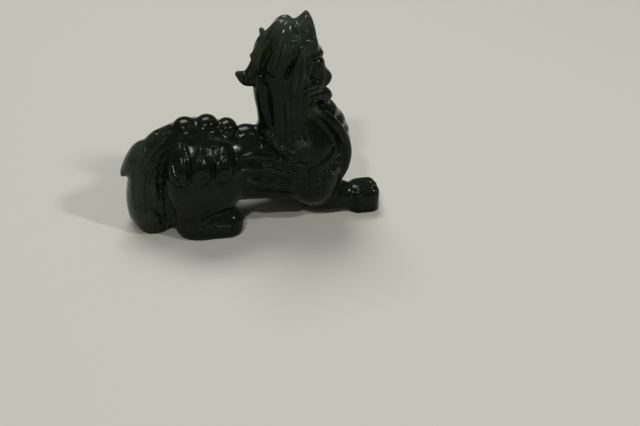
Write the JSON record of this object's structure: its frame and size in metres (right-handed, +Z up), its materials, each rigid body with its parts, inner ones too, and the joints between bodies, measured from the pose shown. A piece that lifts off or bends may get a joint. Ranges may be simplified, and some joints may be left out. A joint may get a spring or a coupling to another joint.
{
  "type": "jade pixiu carving",
  "caption": "Polished dark green stone carving of a crouching winged beast with raised head, brush tail and one foreleg reaching forward.",
  "frame": {"origin": "on the table plane, under the middle of the carving's bounding box", "axes": "+X from the tail to the head and front paw, +Y to the beast's left, +Z up"},
  "size_m": [0.1285, 0.045, 0.109],
  "materials": {
    "jade": "polished"
  },
  "bodies": {
    "root": {"pixiu_carving": "jade"}
  },
  "joints": []
}
